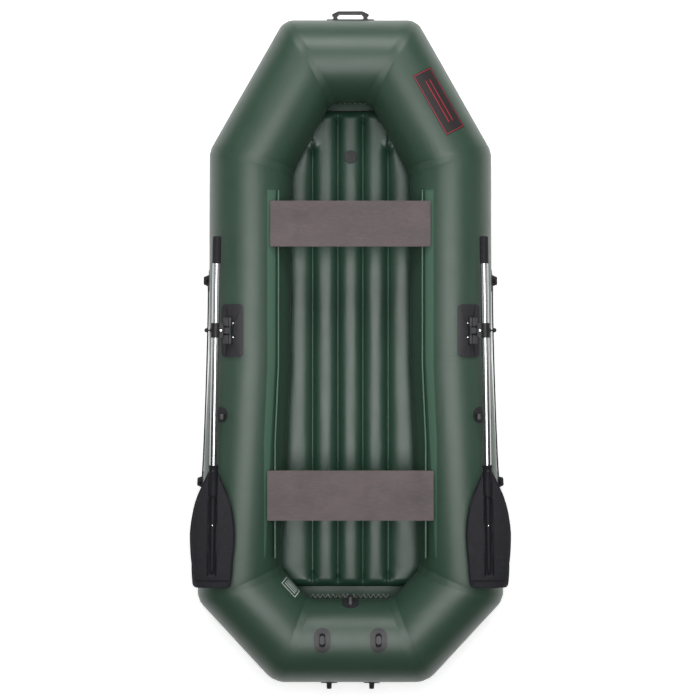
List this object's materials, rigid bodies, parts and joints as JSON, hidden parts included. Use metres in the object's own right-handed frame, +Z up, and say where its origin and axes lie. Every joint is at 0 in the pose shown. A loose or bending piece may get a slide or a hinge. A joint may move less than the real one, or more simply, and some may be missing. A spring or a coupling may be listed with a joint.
{
  "type": "inflatable rowing boat",
  "caption": "Inflatable rowing boat: faceted tube hull, ribbed air floor, sliding plank seats on rails, hinged oarlocks with aluminium oars, lifelines, bow handle and stern eyes.",
  "frame": {"origin": "on the ground under the middle of the hull", "axes": "+Y to the bow, +X to starboard, +Z up"},
  "size_m": [1.3136, 2.869, 0.412],
  "materials": {
    "pvc_green": "satin coated fabric",
    "pvc_bottom": "satin coated fabric",
    "pvc_inner": "matt fabric",
    "floor_pvc": "satin coated fabric",
    "rail_pvc": "satin",
    "plywood": "film faced plywood",
    "aluminium": "bright anodised",
    "steel": "bright",
    "black_steel": "blackened",
    "black_plastic": "satin moulded",
    "blade_plastic": "satin moulded",
    "black_rubber": "matt moulded",
    "grip_rubber": "matt foam",
    "rope_black": "braided",
    "lace_cord": "braided",
    "patch_black": "matt",
    "plate_green": "satin"
  },
  "bodies": {
    "hull": {"hull_bow": "pvc_green", "hull_stern": "pvc_green", "hull_bow_diagonal_starboard": "pvc_green", "hull_bow_diagonal_port": "pvc_green", "hull_side_fore_starboard": "pvc_green", "hull_side_fore_port": "pvc_green", "hull_side_aft_starboard": "pvc_green", "hull_side_aft_port": "pvc_green", "hull_stern_diagonal_starboard": "pvc_green", "hull_stern_diagonal_port": "pvc_green", "seam_tapes": "pvc_green", "chamber_bulkheads": "pvc_inner", "bottom_sheet": "pvc_bottom", "floor_mat_top": "floor_pvc", "floor_mat_base": "floor_pvc", "floor_mat_webs": "pvc_inner", "floor_lacing": "lace_cord", "lacing_strips": "pvc_bottom", "seat_rails": "rail_pvc", "oarlock_pad_starboard": "black_rubber", "oarlock_pad_port": "black_rubber", "oarlock_hinge_pins": "black_steel", "oarlock_screws": "steel", "oar_rests": "black_rubber", "stern_eyes": "black_rubber", "lifeline_eyes": "black_rubber", "lifeline_knots": "rope_black", "lifeline_starboard": "rope_black", "lifeline_port": "rope_black", "bow_handle_pad": "black_rubber", "bow_handle_grip": "black_rubber", "floor_valve_body": "black_plastic", "hull_valve_bodies": "black_plastic", "bow_patch": "patch_black", "info_plate": "plate_green"},
    "seat_front": {"seat_front_board": "plywood", "seat_front_slides": "black_plastic", "seat_front_screws": "steel"},
    "seat_rear": {"seat_rear_board": "plywood", "seat_rear_slides": "black_plastic", "seat_rear_screws": "steel"},
    "oarlock_arm_starboard": {"oarlock_arm_starboard": "black_plastic"},
    "collar_starboard": {"oarlock_collar_starboard": "black_plastic", "oarlock_swivel_bolt_starboard": "steel"},
    "oar_starboard": {"oar_shaft_starboard": "aluminium", "oar_grip_starboard": "grip_rubber", "oar_blade_starboard": "blade_plastic"},
    "clamp_knob_starboard": {"oarlock_clamp_knob_starboard": "black_plastic"},
    "snap_button_starboard": {"oar_snap_button_starboard": "black_plastic"},
    "oarlock_arm_port": {"oarlock_arm_port": "black_plastic"},
    "collar_port": {"oarlock_collar_port": "black_plastic", "oarlock_swivel_bolt_port": "steel"},
    "oar_port": {"oar_shaft_port": "aluminium", "oar_grip_port": "grip_rubber", "oar_blade_port": "blade_plastic"},
    "clamp_knob_port": {"oarlock_clamp_knob_port": "black_plastic"},
    "snap_button_port": {"oar_snap_button_port": "black_plastic"},
    "floor_valve_cap": {"floor_valve_cap": "black_plastic"},
    "hull_valve_bow_cap": {"hull_valve_bow_cap": "black_plastic"},
    "hull_valve_stern_cap": {"hull_valve_stern_cap": "black_plastic"}
  },
  "joints": [
    {"name": "seat_front_slide", "type": "slide", "parent": "hull", "child": "seat_front", "axis": [0, 1, 0], "range_m": [-0.25, 0.04]},
    {"name": "seat_rear_slide", "type": "slide", "parent": "hull", "child": "seat_rear", "axis": [0, 1, 0], "range_m": [-0.12, 0.1]},
    {"name": "oar_lift_starboard", "type": "hinge", "parent": "hull", "child": "oarlock_arm_starboard", "pos_m": [0.496, 0.085, 0.352], "axis": [0, -1, 0], "range_deg": [-20, 10]},
    {"name": "oar_swing_starboard", "type": "hinge", "parent": "oarlock_arm_starboard", "child": "collar_starboard", "pos_m": [0.528, 0.085, 0.39], "axis": [0, 0, 1], "range_deg": [0, 120]},
    {"name": "oar_slide_starboard", "type": "slide", "parent": "collar_starboard", "child": "oar_starboard", "axis": [-0.0157, 0.9999, 0], "range_m": [-0.12, 0.08]},
    {"name": "clamp_knob_turn_starboard", "type": "hinge", "parent": "collar_starboard", "child": "clamp_knob_starboard", "pos_m": [0.58799, 0.08594, 0.39], "axis": [0.9999, 0.0157, 0], "continuous": true},
    {"name": "snap_button_press_starboard", "type": "slide", "parent": "oar_starboard", "child": "snap_button_starboard", "axis": [0, 0, -1], "range_m": [0, 0.0035], "stiffness_N_per_m": 600},
    {"name": "oar_lift_port", "type": "hinge", "parent": "hull", "child": "oarlock_arm_port", "pos_m": [-0.496, 0.085, 0.352], "axis": [0, 1, 0], "range_deg": [-20, 10]},
    {"name": "oar_swing_port", "type": "hinge", "parent": "oarlock_arm_port", "child": "collar_port", "pos_m": [-0.528, 0.085, 0.39], "axis": [0, 0, -1], "range_deg": [0, 120]},
    {"name": "oar_slide_port", "type": "slide", "parent": "collar_port", "child": "oar_port", "axis": [0.0157, 0.9999, 0], "range_m": [-0.12, 0.08]},
    {"name": "clamp_knob_turn_port", "type": "hinge", "parent": "collar_port", "child": "clamp_knob_port", "pos_m": [-0.58799, 0.08594, 0.39], "axis": [-0.9999, 0.0157, 0], "continuous": true},
    {"name": "snap_button_press_port", "type": "slide", "parent": "oar_port", "child": "snap_button_port", "axis": [0, 0, -1], "range_m": [0, 0.0035], "stiffness_N_per_m": 600},
    {"name": "floor_valve_turn", "type": "hinge", "parent": "hull", "child": "floor_valve_cap", "pos_m": [0, 0.838, 0.08], "axis": [0, 0, 1], "range_deg": [0, 90]},
    {"name": "hull_valve_bow_turn", "type": "hinge", "parent": "hull", "child": "hull_valve_bow_cap", "pos_m": [0.06, 1.227, 0.173], "axis": [0, 0.788, -0.6157], "range_deg": [0, 90]},
    {"name": "hull_valve_stern_turn", "type": "hinge", "parent": "hull", "child": "hull_valve_stern_cap", "pos_m": [0.06, -1.227, 0.173], "axis": [0, -0.788, -0.6157], "range_deg": [0, 90]}
  ]
}
